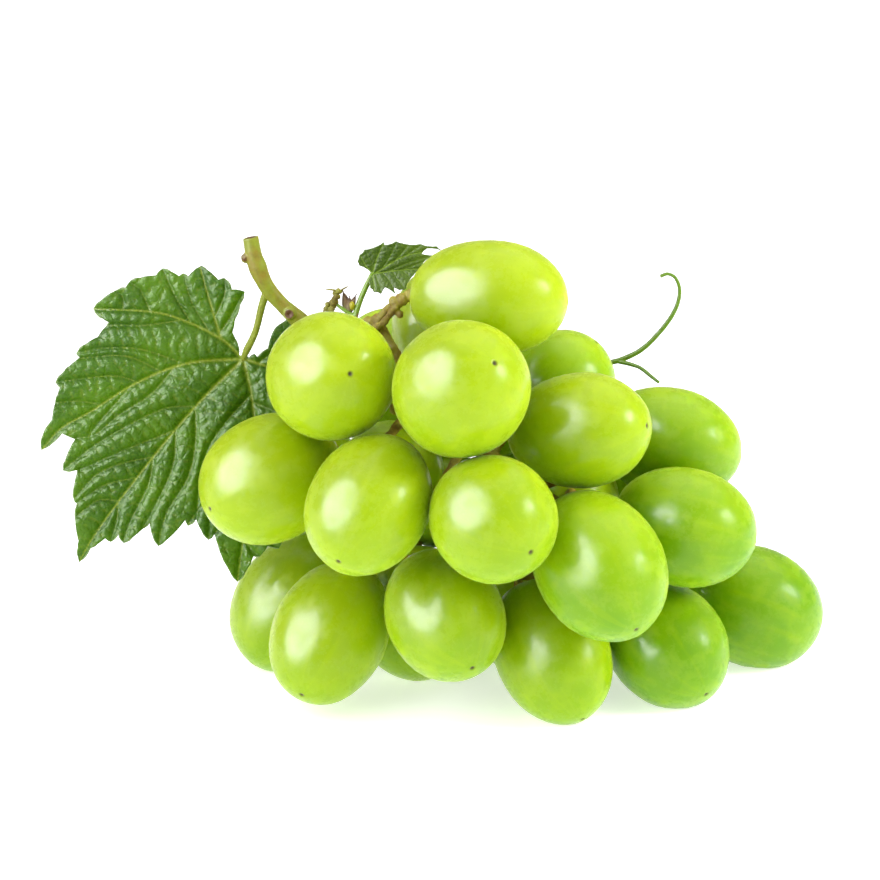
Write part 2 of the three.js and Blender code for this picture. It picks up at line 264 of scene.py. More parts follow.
def cellsOn(tree, vector, scale, feature="F1"):
    node = tree.nodes.new("ShaderNodeTexVoronoi")
    node.feature = feature
    node.inputs["Scale"].default_value = scale
    tree.links.new(vector, node.inputs["Vector"])
    return node.outputs["Distance"]


def warp(tree, place):
    # place pushed about by half a millimetre or so, which makes cells less regular
    push = tree.nodes.new("ShaderNodeTexNoise")
    push.inputs["Scale"].default_value = 400
    tree.links.new(place, push.inputs["Vector"])
    node = tree.nodes.new("ShaderNodeVectorMath")
    node.operation = "MULTIPLY_ADD"
    node.inputs[1].default_value = (0.0015, 0.0015, 0.0015)
    tree.links.new(push.outputs["Color"], node.inputs[0])
    tree.links.new(place, node.inputs[2])
    return node.outputs["Vector"]


def bump(tree, shader, height, distance):
    node = tree.nodes.new("ShaderNodeBump")
    node.inputs["Distance"].default_value = distance
    tree.links.new(height, node.inputs["Height"])
    tree.links.new(node.outputs["Normal"], shader.inputs["Normal"])


# Grape skin: waxy, translucent, with a dusty bloom, pale veins and small dots, and painted light and shade
# in its yellow share

def grapeSkin(name, deep, fresh, pale):
    material, tree, shader = newMaterial(
        name, IOR=1.4, Specular_IOR_Level=0.1, Subsurface_Weight=1.0,
        Subsurface_Radius=(0.8, 1.0, 0.08), Subsurface_Scale=0.007, Coat_Weight=0.65, Coat_IOR=1.37,
        Sheen_Weight=0.07, Sheen_Roughness=0.35)
    own = readAttribute(tree, "ownPlace", "Vector")
    meridian = readAttribute(tree, "meridian", "Vector")
    scar = readAttribute(tree, "scar")
    cloud = between(tree, noiseOn(tree, own, 0.7, 2), 0.3, 0.7, 0.2)
    # the attribute read here carries a random yellow share per grape with painted light and shade laid over
    # it, so the deep colour also stands for painted shade
    flesh = mixColours(tree, combine(tree, "ADD", readAttribute(tree, "ripenessAndShade"), cloud), deep, fresh)
    veins = noiseOn(tree, meridian, 1.8, 3)
    flesh = mixColours(tree, between(tree, veins, 0.5, 0.68, 0.12), flesh, pale)
    flesh = mixColours(tree, combine(tree, "MULTIPLY", readAttribute(tree, "stemEnd"), 0.5), flesh, pale)
    dust = between(tree, noiseOn(tree, own, 2.6, 8, 0.75), 0.42, 0.68)
    skin = mixColours(tree, combine(tree, "MULTIPLY", dust, 0.12), flesh, (0.64, 0.80, 0.01))
    dots = between(tree, cellsOn(tree, own, 9.0), 0.05, 0.11, 0.0, 0.2)
    skin = mixColours(tree, dots, skin, pale)
    skin = mixColours(tree, scar, skin, (0.06, 0.04, 0.012))
    tree.links.new(skin, shader.inputs["Base Color"])
    waxy = combine(tree, "MULTIPLY_ADD", dust, 0.28, 0.21)
    waxy = combine(tree, "MAXIMUM", waxy, combine(tree, "MULTIPLY", scar, 0.7))
    tree.links.new(waxy, shader.inputs["Coat Roughness"])
    tree.links.new(combine(tree, "ADD", waxy, 0.15), shader.inputs["Roughness"])
    height = combine(tree, "MULTIPLY_ADD", veins, 0.6, noiseOn(tree, own, 6.0, 3))
    bump(tree, shader, height, 0.00003)
    return material


# Leaf tops with pale veins, and paler undersides

def leafTop(name, dark, light, veinColour, roughness):
    material, tree, shader = newMaterial(
        name, Specular_IOR_Level=0.19, Subsurface_Weight=0.15,
        Subsurface_Radius=(0.6, 1.0, 0.1), Subsurface_Scale=0.0006)
    place = objectPlace(tree)
    vein = readAttribute(tree, "vein")
    rung = readAttribute(tree, "rung")
    cloud = between(tree, noiseOn(tree, place, 90, 4, 0.6), 0.3, 0.7)
    blade = mixColours(tree, cloud, dark, light)
    fine = between(tree, cellsOn(tree, place, 1500, "DISTANCE_TO_EDGE"), 0.02, 0.14, 0.0, 0.35)
    blade = mixColours(tree, fine, blade, light)
    blade = mixColours(tree, combine(tree, "MULTIPLY", rung, 0.35), blade, veinColour)
    blade = mixColours(tree, vein, blade, veinColour)
    tree.links.new(blade, shader.inputs["Base Color"])
    grain = noiseOn(tree, place, 1800, 4, 0.6)
    rough = combine(tree, "MULTIPLY_ADD", grain, 0.22, roughness)
    tree.links.new(rough, shader.inputs["Roughness"])
    grit = combine(tree, "MULTIPLY", grain, 0.4)
    wrinkles = combine(tree, "MULTIPLY_ADD", cellsOn(tree, place, 1300), 0.5, grit)
    quilt = between(tree, cellsOn(tree, warp(tree, place), 520, "DISTANCE_TO_EDGE"), 0.0, 0.22, 0.7)
    bump(tree, shader, combine(tree, "ADD", wrinkles, quilt), 0.0001)
    return material


def leafBack(name, colour, veinColour):
    material, tree, shader = newMaterial(name, Specular_IOR_Level=0.2)
    place = objectPlace(tree)
    cloud = between(tree, noiseOn(tree, place, 260, 5, 0.6), 0.3, 0.7, 0.5)
    blade = mixColours(tree, cloud, colour, tuple(0.75 * c for c in colour))
    blade = mixColours(tree, readAttribute(tree, "vein"), blade, veinColour)
    tree.links.new(blade, shader.inputs["Base Color"])
    rough = combine(tree, "MULTIPLY_ADD", noiseOn(tree, place, 1500, 3), 0.2, 0.55)
    tree.links.new(rough, shader.inputs["Roughness"])
    bump(tree, shader, noiseOn(tree, place, 2500, 4, 0.7), 0.0001)
    return material


# Bark and green stems: mottled green to brown, with specks and darker corky scars

def stemSkin(name, green, brown, scarColour, browning, roughness):
    # browning is where the mottling starts and ends, and the most of it
    material, tree, shader = newMaterial(
        name, Specular_IOR_Level=0.2, Subsurface_Weight=0.12,
        Subsurface_Radius=(1.0, 0.8, 0.2), Subsurface_Scale=0.0005)
    place = objectPlace(tree)
    scar = readAttribute(tree, "scar")
    patch = between(tree, noiseOn(tree, place, 330, 5, 0.62), *browning)
    skin = mixColours(tree, patch, green, brown)
    mottle = noiseOn(tree, place, 900, 4, 0.6)
    skin = mixColours(tree, between(tree, mottle, 0.45, 0.75, 0.35), skin, tuple(0.55 * c for c in brown))
    speck = between(tree, cellsOn(tree, place, 1300), 0.08, 0.2, 0.0, 0.35)
    skin = mixColours(tree, speck, skin, tuple(min(1, 1.25 * c) for c in green))
    faint = combine(tree, "SUBTRACT", scar, 0.35)
    deepScar = combine(tree, "MULTIPLY_ADD", noiseOn(tree, place, 1500, 3), 0.7, faint)
    skin = mixColours(tree, between(tree, deepScar, 0.25, 0.6), skin, scarColour)
    tree.links.new(skin, shader.inputs["Base Color"])
    rough = combine(tree, "MULTIPLY_ADD", combine(tree, "MAXIMUM", patch, scar), 0.25, roughness)
    tree.links.new(rough, shader.inputs["Roughness"])
    bump(tree, shader, combine(tree, "MULTIPLY_ADD", scar, noiseOn(tree, place, 2500, 3), mottle), 0.00012)
    return material


yellowSkin = grapeSkin("grapeSkin", (0.20, 0.37, 0.0), (0.375, 0.50, 0.0), (0.54, 0.67, 0.0))
greenSkin = grapeSkin("greenGrapeSkin", (0.13, 0.31, 0.0), (0.36, 0.53, 0.0), (0.50, 0.64, 0.0))
leafMaterial = leafTop("leafTop", (0.034, 0.108, 0.0), (0.078, 0.185, 0.0), (0.25, 0.33, 0.02), 0.34)
leafUnder = leafBack("leafUnder", (0.24, 0.34, 0.13), (0.36, 0.44, 0.16))
youngMaterial = leafTop("youngLeafTop", (0.038, 0.085, 0.002), (0.110, 0.185, 0.012),
                        (0.22, 0.34, 0.03), 0.42)
youngUnder = leafBack("youngLeafUnder", (0.26, 0.36, 0.18), (0.36, 0.47, 0.2))
caneSkin = stemSkin("caneBark", (0.25, 0.29, 0.02), (0.27, 0.17, 0.02), (0.12, 0.05, 0.015),
                    (0.42, 0.72, 0.8), 0.38)
stalkSkin = stemSkin("stalkBark", (0.40, 0.34, 0.03), (0.26, 0.15, 0.015), (0.10, 0.05, 0.01),
                     (0.38, 0.66, 0.9), 0.6)
leafStalkSkin = stemSkin("leafStalkSkin", (0.26, 0.31, 0.03), (0.25, 0.22, 0.03), (0.22, 0.12, 0.05),
                         (0.5, 0.85, 0.5), 0.4)
shootSkin = stemSkin("shootSkin", (0.22, 0.38, 0.03), (0.26, 0.27, 0.05), (0.25, 0.15, 0.05),
                     (0.5, 0.8, 0.4), 0.42)
tendrilSkin = stemSkin("tendrilSkin", (0.13, 0.25, 0.01), (0.14, 0.19, 0.01), (0.1, 0.08, 0.02),
                       (0.5, 0.8, 0.5), 0.38)
driedSkin = stemSkin("driedFlowers", (0.30, 0.30, 0.03), (0.19, 0.14, 0.02), (0.10, 0.06, 0.02),
                     (0.35, 0.6), 0.7)
budSkin = stemSkin("budScales", (0.33, 0.28, 0.13), (0.22, 0.13, 0.06), (0.12, 0.07, 0.04),
                   (0.35, 0.65), 0.65)
budHeart = stemSkin("budHeart", (0.55, 0.50, 0.02), (0.42, 0.36, 0.02), (0.2, 0.15, 0.02),
                    (0.5, 0.9, 0.5), 0.5)
print("materials made")


# Grapes

grapeShape = {
    "sides": 56,
    "touch": 0.25 * mm,        # grows by this, so that neighbours meet
    "blossomFullness": 0.025,  # how much fuller the blossom half is
    "dimpleRadius": 2.6 * mm,
    "dimpleDepth": 0.8 * mm,
    "creaseDepth": 0.014,      # faint flats round the blossom end
    "scarRadius": 0.42 * mm,
    "scarDepth": 0.2 * mm,
    "unevenness": 0.2 * mm,
    "ripeMiddle": 0.46,        # share of yellow at the height given next, before painted light and shade
    "paintedLightLevel": 40 * mm,
    "paintedLightUp": 6.0,            # painted light: share of yellow gained per metre of height, and to the left, where the key lamp falls
    "paintedLightLeft": 5.0,
    "paintedShadeUnder": 0.36,        # painted shade: undersides darker and greener by this
    "turns": [0, 3, 6, 9, 12, 16, 20, 25, 31, 38, 46, 55, 64, 73, 82, 91, 100, 109, 118, 127, 136,
              144, 151, 157, 162, 166, 169.5, 172.5, 174.8, 176.3, 177.4, 178.3, 179.1, 180],
}
stalkPlaces = np.array([v.co for v in frame["nodes"]["stalk"].data.vertices])


def readGrape(name):
    # centre, axis from stem end to blossom end, and both radii, from the CAD oval
    places = np.array([v.co for v in frame["nodes"][name].data.vertices])
    places = np.unique(places.round(7), axis=0)
    axis = np.linalg.eigh(np.cov((places - places.mean(0)).T))[1][:, 2]
    along = places @ axis
    middle = places.mean(0)
    middle += axis * ((along.max() + along.min()) / 2 - middle @ axis)
    halfLong = (along.max() - along.min()) / 2
    ends = [middle + axis * side * halfLong for side in (-1, 1)]
    fromStalk = [np.linalg.norm(stalkPlaces - end, axis=1).min() for end in ends]
    if fromStalk[0] > fromStalk[1]:
        axis = -axis
    across = places - middle - np.outer((places - middle) @ axis, axis)
    halfWide = np.sort(np.linalg.norm(across, axis=1))[-10:].mean()
    return {"centre": Vector(middle), "axis": Vector(axis), "long": halfLong, "wide": halfWide,
            "ground": places[:, 2].min() < 0.05 * mm}


def grapeOutline(grape, shape):
    # half outline from the stem dimple to the blossom scar
    halfLong = grape["long"] + shape["touch"]
    halfWide = grape["wide"] + shape["touch"]
    outline = []
    for turn in shape["turns"]:
        angle = math.radians(turn)
        along = -halfLong * math.cos(angle)
        out = halfWide * math.sin(angle) * (1 - shape["blossomFullness"] * math.cos(angle))
        if along < 0:
            along += shape["dimpleDepth"] * math.exp(-(out / shape["dimpleRadius"]) ** 2)
        else:
            pit = out / shape["scarRadius"]
            along -= shape["scarDepth"] * (math.exp(-pit ** 2) - 0.4 * math.exp(-3 * (pit - 1.7) ** 2))
        outline.append((out, 0, along))
    return outline


def makeGrape(name, index):
    grape = readGrape(name)
    shape = grapeShape
    draw = random.Random(index)
    bm = bmesh.new()
    outline = [bm.verts.new(place) for place in grapeOutline(grape, shape)]
    edges = [bm.edges.new(pair) for pair in zip(outline, outline[1:])]
    bmesh.ops.spin(bm, geom=outline + edges, cent=(0, 0, 0), axis=(0, 0, 1), dvec=(0, 0, 0),
                   angle=math.tau, steps=shape["sides"], use_merge=True, use_duplicate=False)
    bmesh.ops.remove_doubles(bm, verts=bm.verts, dist=0.001 * mm)
    bmesh.ops.recalc_face_normals(bm, faces=bm.faces)

    offset = Vector((draw.uniform(0, 50), draw.uniform(0, 50), draw.uniform(0, 50)))
    flats = draw.choice((3, 4, 5))
    own, meridian, scar, stemEnd = [], [], [], []
    patternSize = 10 * mm
    for v in bm.verts:
        share = v.co.z / grape["long"]
        angle = math.atan2(v.co.y, v.co.x)
        radius = math.hypot(v.co.x, v.co.y)
        own.append(v.co / patternSize + offset)
        meridian.append(Vector((math.cos(angle) * 3, math.sin(angle) * 3, share * 0.7)) + offset)
        scar.append(min(1, max(0, 1.6 - radius / shape["scarRadius"])) if share > 0.5 else 0)
        stemEnd.append(max(0, 1 - radius / (0.75 * grape["wide"])) if share < 0 else 0)
        squeeze = 1 - shape["creaseDepth"] * max(0, share) ** 4 * math.cos(flats * angle)
        v.co.x *= squeeze
        v.co.y *= squeeze
        v.co += wobble(v.co, 9 * mm, shape["unevenness"], index * 3.1)
    turn = grape["axis"].to_track_quat("Z", "Y").to_matrix().to_4x4()
    bmesh.ops.transform(bm, matrix=Matrix.Translation(grape["centre"]) @ turn, verts=bm.verts)
    if grape["ground"]:
        for v in bm.verts:
            v.co.z = max(v.co.z, 0)

    skin = greenSkin if slotOf[name] == "green_grape_skin" else yellowSkin
    piece = newPiece("skin_" + name, bm, [skin], name)
    # a random yellow share per grape, with painted light laid over it: yellower up and to the left
    ripeAndLit = shape["ripeMiddle"] + draw.uniform(-0.1, 0.1)
    ripeAndLit += (grape["centre"].z - shape["paintedLightLevel"]) * shape["paintedLightUp"]
    ripeAndLit -= grape["centre"].x * shape["paintedLightLeft"]
    # painted shade: each vertex greener the lower it lies on its grape
    ripenessAndShade = [min(1, max(0, ripeAndLit + (v.co.z - grape["centre"].z) / grape["wide"] * shape["paintedShadeUnder"]))
                for v in piece.data.vertices]
    for label, values in (("ownPlace", own), ("meridian", meridian), ("scar", scar), ("stemEnd", stemEnd),
                          ("ripenessAndShade", ripenessAndShade)):
        writeAttribute(piece, label, values)
    return grape


grapes = {name: makeGrape(name, index)
          for index, name in enumerate(sorted(n for n in frame["nodes"] if n.startswith("grape_")))}
print("grapes made:", len(grapes))


# Leaves: each blade lies in a plane that leans back, with u to the right and v up, in mm

leafShape = {
    "base": (-40.2, 18, 66.6),
    "lean": 16,
    "growth": 1.028,
    "thickness": 0.4,
    "outline": [
        (-0.7, 0.7), (-2, 5.2), (-1.6, 8), (-0.7, 10.7), (0.4, 13.3),
        (-2.1, 13.7), (-3.6, 15.9), (-4.8, 15.6), (-8.3, 18.4), (-10.8, 16.2),
        (-11.8, 16.8), (-12.5, 16.3), (-15.8, 17.8), (-17, 16.4), (-22.1, 15.2),
        (-23, 13.8), (-24.9, 13.4), (-29.6, 9.8), (-26.2, 7), (-28.5, 4.2),
        (-32.6, 1), (-31.8, 0.1), (-36.6, -4.7), (-35.6, -5.7), (-37.3, -12.2),
        (-39.1, -14.9), (-39.8, -18.2), (-35.6, -14.7), (-32.8, -15.9), (-35.3, -22.1),
        (-32.3, -22.1), (-33.2, -27.9), (-32.6, -28.6), (-32.3, -36.1), (-32.6, -40.5),
        (-30.3, -37.6), (-27.1, -35.6), (-26.1, -36.3), (-24.6, -34.6), (-23.6, -36.5),
        (-20, -34), (-18.4, -32.3), (-16.7, -37.2), (-11.2, -31.8), (-10.9, -33.1),
        (-9.2, -31.8), (-6.8, -36), (-5.6, -34.8), (-1.3, -44.5), (2.1, -39.1),
        (3.2, -39.3), (5, -37.1), (7.1, -37.7), (8, -33), (10.5, -30),
        (9.5, -26), (13, -22), (12, -17), (16, -12), (14.5, -8),
        (18.5, -3), (16, 1), (16.5, 5), (10.7, 8.5), (6.5, 6.2),
        (5, 2), (3, 0.2), (2.2, 0.9), (1.2, 0)],
    "toothBow": 0.05,
    "mainWidth": (0.34, 0.1),   # half width of a main vein at its base and its tip
    "mainVeins": [
        [(0, 0), (-4.3, 3.9), (-11.1, 7.3), (-17.9, 9.2), (-29.6, 9.8)],
        [(-4.3, 3.9), (-6.2, 10.2), (-8.5, 18.2)],
        [(0, 0), (-11.1, -1), (-20.8, -4.8), (-30, -10.6), (-35.6, -13.8), (-39.7, -18.1)],
        [(0, 0), (-9.1, -9.2), (-17.9, -19.8), (-27.5, -32.4), (-32.5, -40.2)],
        [(0, 0), (1.8, -8.2), (2.6, -20), (0.6, -32), (-1.3, -44.3)],
        [(0, 0), (4.5, -1.4), (10, -2.8), (18.2, -3)]],
    "sideWidth": (0.13, 0.05),
    "sideVeins": [
        [(-10.2, 6.9), (-13.2, 12.2), (-15.8, 17.6)], [(-18.2, 9.3), (-20.1, 13.4), (-22.1, 15)],
        [(-23.6, 9.6), (-23.6, 12), (-24.8, 13.3)], [(-6.5, 5.2), (-10, 11), (-11.8, 16.6)],
        [(-12, 7.6), (-19.5, 6.5), (-26.2, 6.4), (-28.4, 4.4)],
        [(-5.4, 8.6), (-3.6, 12.6), (-3.6, 15.7)], [(-4.6, 5), (-2, 9), (0.3, 13.2)],
        [(-11.4, -1.1), (-19.7, 1.7), (-27, 2), (-32.4, 1)], [(-20.6, -4.7), (-25.6, -3.5), (-36.4, -4.7)],
        [(-27.9, -9.2), (-32, -8.5), (-37, -8.8)], [(-16, -2.6), (-23, 0.4), (-31.6, 0)],
        [(-13.5, -1.7), (-18, -7), (-24, -11), (-29, -15), (-32.6, -15.8)],
        [(-22, -5.4), (-28, -12.4), (-30.4, -15.6)],
        [(-9.2, -9.4), (-16.2, -10.2), (-27.6, -16.2), (-35.2, -22)],
        [(-13.4, -14.2), (-22, -17.6), (-32, -22)],
        [(-17.7, -19.5), (-23.1, -20.6), (-28.6, -22.9), (-33.1, -27.7)],
        [(-24.6, -28.2), (-28.6, -28.1), (-32.5, -31)], [(-21, -23.6), (-27, -25), (-32.5, -28.4)],
        [(-9.4, -10), (-9.3, -16.2), (-10.7, -23.2), (-15, -30.6), (-16.7, -37)],
        [(-17.7, -19.7), (-18.7, -25.1), (-22.1, -32.1), (-23.6, -36.3)],
        [(-24.6, -28.4), (-24.9, -32.1), (-26.1, -36.1)], [(-13.2, -14.2), (-14, -22), (-19.6, -33.6)],
        [(1.8, -8.6), (5.7, -10.2), (12, -13), (15.8, -12)], [(2.4, -16), (7, -19.5), (12.9, -21.9)],
        [(2.4, -22), (6, -26.8), (10.4, -29.9)], [(0.9, -31), (3.4, -34.6), (7, -37.5)],
        [(0, -35.6), (1.6, -38), (3.2, -39.1)], [(2.3, -14), (-2.6, -22), (-6, -30), (-6.8, -35.8)],
        [(1.2, -28), (-3.4, -32.4), (-5.6, -34.6)], [(-0.6, -19), (-7.6, -28.4), (-10.9, -32.9)],
        [(3, -0.9), (7.6, 2.6), (12, 7.4)], [(6.6, -2), (11, 0.6), (16, 3)],
        [(9, -2.6), (13, -5.4), (14.6, -7.8)], [(1.6, -7), (-3.6, -13), (-7.6, -20), (-9.2, -31.6)]],
    "rungSpacing": 2.3,
    "rungHeight": 0.6,
    "quiltHeight": 0.45,
    "vaultHeight": 0.9,          # rise between main veins
    "curls": [  # lobe tip, reach and drop
        ((-39.8, -18.2), 7, 2.6), ((-32.6, -40.5), 7, 2.4), ((-1.3, -44.5), 8, 1.5), ((-29.6, 9.8), 8, 1.6)],
    "bow": lambda u, v: -0.12 * u - 0.0012 * v * v,
    "fineEdge": 0.24,
    "coarseEdge": 0.5,
}

smallLeafShape = {
    "base": (-13.6, 14, 85.3),
    "lean": 16,
    "growth": 1.0,
    "thickness": 0.25,
    "outline": [
        (-0.7, 0.7), (-2.6, 1.6), (-3, 2.5), (-2.5, 3.7), (-1.5, 4.7),
        (2.3, 6.2), (2.4, 5.7), (4.8, 6.4), (9.8, 5.9), (13, 5.5),
        (14.1, 4.7), (11, 5.1), (9.9, 4.1), (12.3, 3.7), (10.4, 2.5),
        (9.5, 1), (8, -0.5), (6.6, -3.1), (5.4, -3.3), (4.3, -2.8),
        (4.7, -4), (2.5, -2.7), (1.8, -4), (0.4, -3.6), (-0.4, -2.8),
        (-0.7, -1.6), (-0.1, -0.3)],
    "toothBow": 0.06,
    "mainWidth": (0.16, 0.06),
    "mainVeins": [
        [(0, 0), (5, 0.7), (9.6, 1.1)], [(0, 0), (-1.3, 1.6), (-2.3, 3.4)], [(0, 0), (0.9, 3), (2.2, 6)],
        [(0.5, 0.1), (6.6, 3.6), (14, 4.8)], [(0, 0), (0.3, -2), (0.4, -3.4)]],
    "sideWidth": (0.08, 0.04),
    "sideVeins": [
        [(1.8, 0.8), (3.6, 3.6), (4.8, 6.2)], [(4, 2.1), (6, 4.2), (7.4, 6)],
        [(6, 3.2), (8.4, 4.8), (9.8, 5.8)], [(3, 0.4), (7.4, 2.3), (12.2, 3.6)],
        [(6, 0.8), (8.6, 1.8), (10.4, 2.5)],
        [(0.6, 0.1), (1.3, -2.2), (1.8, -3.8)], [(2, 0.3), (3.5, -1.5), (4.6, -3.8)],
        [(4, 0.5), (5.2, -1.2), (6.5, -3)], [(6, 0.8), (7.2, -0.4), (7.7, -1)],
        [(0.4, 1.2), (-0.6, 3), (-1.4, 4.5)]],
    "rungSpacing": 0.9,
    "rungHeight": 0.12,
    "quiltHeight": 0.2,
    "vaultHeight": 0.15,
    "curls": [((14.1, 4.7), 4, 0.8)],
    "bow": lambda u, v: 0.25 * abs(v - 0.1 * u) - 0.1 * u,
    "fineEdge": 0.1,
    "coarseEdge": 0.22,
}

bladeStyle = {  # the same for both leaves
    "sideVeinShade": 0.55,
    "rungSlant": 0.35,
    "rungUnevenness": 0.5,
    "vaultReach": 4.5,
    "quiltReach": 0.8,
    "rolledRim": 0.35,
}


def plainPoint(shape, u, v, h):
    # a point of the blade in mm, before the CAD origin was moved under the bunch
    tilt = math.radians(shape["lean"])
    x, y, z = shape["base"]
    u *= shape["growth"]
    v *= shape["growth"]
    sine, cosine = math.sin(tilt), math.cos(tilt)
    return Vector((x + u, y + v * sine - h * cosine, z + v * cosine + h * sine))


def findCadShift():
    # how far the CAD origin lies from the one that the lists in this script use
    solidLeafHalf = 0.6    # half the thickness of the CAD leaf
    points = [plainPoint(leafShape, u, v, leafShape["bow"](u, v) + solidLeafHalf)
              for u, v in leafShape["outline"]]
    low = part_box("leaf_blade")[0]
    return Vector((low.x - min(p.x for p in points) * mm, low.y - min(p.y for p in points) * mm, 0))


cadShift = findCadShift()


def at(*point):
    # a point of the CAD lists, in metres in the frame
    return Vector(point) * mm + cadShift


def allAt(points):
    return [at(*point) for point in points]


def bowedOutline(shape):
    # the outline with each stretch between two corners bowed out a little
    corners = [Vector(corner) for corner in shape["outline"]]
    places = []
    for a, b in zip(corners, corners[1:] + corners[:1]):
        step = b - a
        out = Vector((-step.y, step.x)) * -shape["toothBow"]
        parts = max(2, round(step.length / 0.9))
        for part in range(parts):
            t = part / parts
            places.append(a + step * t + out * 4 * t * (1 - t))
    return places


def veinSamples(shape):
    # points along all veins: place, half width, distance along, vein number, 1 for a main vein, heading
    rows = []
    number = 0
    for kind, isMain in (("main", 1), ("side", 0)):
        wide, narrow = shape[kind + "Width"]
        for line in shape[kind + "Veins"]:
            path = curveThrough([(u, v, 0) for u, v in line], shape["fineEdge"] * 0.8)
            along = 0
            for index, place in enumerate(path):
                along += (place - path[index - 1]).length if index else 0
                halfWidth = wide + (narrow - wide) * (index / (len(path) - 1)) ** 0.7
                rows.append((place, halfWidth, along, number, isMain, path[-1] - path[0]))
            number += 1
    return rows


def treeOf(places):
    tree = kdtree.KDTree(len(places))
    for index, place in enumerate(places):
        tree.insert(Vector(place).to_3d(), index)
    tree.balance()
    return tree


def gridBlade(shape, veinTree):
    # a flat blade of small triangles, smallest along the veins
    bm = bmesh.new()
    outline = [bm.verts.new((p.x, p.y, 0)) for p in bowedOutline(shape)]
    face = bm.faces.new(outline)
    face.normal_update()
    if face.normal.z < 0:
        face.normal_flip()
    bmesh.ops.triangulate(bm, faces=[face])
    fine, coarse = shape["fineEdge"], shape["coarseEdge"]
    size = 8.0
    while size > fine:
        size = max(size * 0.62, fine)
        for _ in range(2):
            longEdges = []
            for edge in bm.edges:
                middle = (edge.verts[0].co + edge.verts[1].co) / 2
                gap = veinTree.find(middle)[2]
                wanted = max(size, fine + (coarse - fine) * min(1, gap / 0.8))
                if edge.calc_length() > 1.4 * wanted:
                    longEdges.append(edge)
            if not longEdges:
                break
            bmesh.ops.subdivide_edges(bm, edges=longEdges, cuts=1)
            bmesh.ops.triangulate(bm, faces=[f for f in bm.faces if len(f.verts) > 3])
            bmesh.ops.beautify_fill(bm, faces=bm.faces, edges=[e for e in bm.edges if not e.is_boundary])
            inner = [v for v in bm.verts if not v.is_boundary]
            bmesh.ops.smooth_vert(bm, verts=inner, factor=0.4, use_axis_x=True, use_axis_y=True)
    return bm


def makeBlade(name, shape, materials, node):
    style = bladeStyle
    veins = veinSamples(shape)
    veinTree = treeOf([row[0] for row in veins])
    mainTree = treeOf([row[0] for row in veins if row[4]])
    rim = treeOf(bowedOutline(shape))
    bm = gridBlade(shape, veinTree)
    veinMask, rungMask = [], []
    for v in bm.verts:
        u, w = v.co.x, v.co.y
        place, index, gap = veinTree.find(v.co)
        _, halfWidth, along, number, isMain, heading = veins[index]
        mainGap = mainTree.find(v.co)[2]
        rimGap = rim.find(v.co)[2]
        veinMask.append(min(1, max(0, 1.5 - gap / halfWidth)) * (1 if isMain else style["sideVeinShade"]))
        side = 1 if heading.cross(v.co - place).z > 0 else -1
        unevenness = noise.noise(Vector((u / 3, w / 3, number * 5.3))) * style["rungUnevenness"]
        phase = (along + style["rungSlant"] * gap * side) / shape["rungSpacing"] + unevenness + 0.37 * side
        puff = abs(math.sin(math.pi * phase))
        offVein = 1 - math.exp(-(gap / (0.25 * shape["rungSpacing"])) ** 2)
        rungMask.append((1 - min(1, puff * 3.5)) * offVein)
        height = shape["bow"](u, w)
        height += shape["vaultHeight"] * (1 - math.exp(-(mainGap / style["vaultReach"]) ** 2))
        height += shape["quiltHeight"] * (1 - math.exp(-(gap / style["quiltReach"]) ** 2))
        height += shape["rungHeight"] * puff ** 0.4 * offVein
        height -= style["rolledRim"] * shape["quiltHeight"] * math.exp(-(rimGap / style["quiltReach"]) ** 2)
        for tip, reach, drop in shape["curls"]:
            height -= drop * max(0, 1 - (v.co.xy - Vector(tip)).length / reach) ** 2
        height += noise.noise(Vector((u / 7, w / 7, 0))) * shape["quiltHeight"]
        v.co = plainPoint(shape, u, w, height) * mm + cadShift
    bmesh.ops.recalc_face_normals(bm, faces=bm.faces)
    towardsFront = Vector((0, -1, 0))
    if sum((f.normal * f.calc_area() for f in bm.faces), Vector()).dot(towardsFront) < 0:
        bmesh.ops.reverse_faces(bm, faces=bm.faces)
    piece = newPiece(name, bm, materials, node)
    writeAttribute(piece, "vein", veinMask)
    writeAttribute(piece, "rung", rungMask)
    wall = piece.modifiers.new("thickness", "SOLIDIFY")
    wall.thickness = shape["thickness"] * mm
    wall.offset = -1
    wall.material_offset = 1
    wall.material_offset_rim = 1


makeBlade("leafBlade", leafShape, [leafMaterial, leafUnder], "leaf_blade")
makeBlade("youngLeafBlade", smallLeafShape, [youngMaterial, youngUnder], "small_leaf_blade")
print("leaves made")


# Cane: a cut piece of green shoot, with swollen nodes, a bud scar and a corky knot

cane = {
    "path": [(-38, 13, 93), (-37, 12.8, 88), (-34.3, 13, 82), (-29, 13.5, 76.3), (-24, 14, 72.2),
             (-20, 14.5, 70)],
    "radius": taper((0, 1.6), (0.1, 1.65), (0.2, 1.85), (0.32, 1.6), (0.5, 1.5), (0.62, 1.75),
                    (0.72, 1.9), (1, 1.6)),
    "budScar": (-39.1, 12.4, 88.9),
    "knot": (-30.2, 12.3, 77.6),
    "eye": (-0.2, -1.25, 0),      # from the knot, the hollow in its front
    "eyePit": (0.5, 0.5),         # radius and depth
    "eyeLip": (0.95, 0.3, 0.22),  # radius, width and height
}


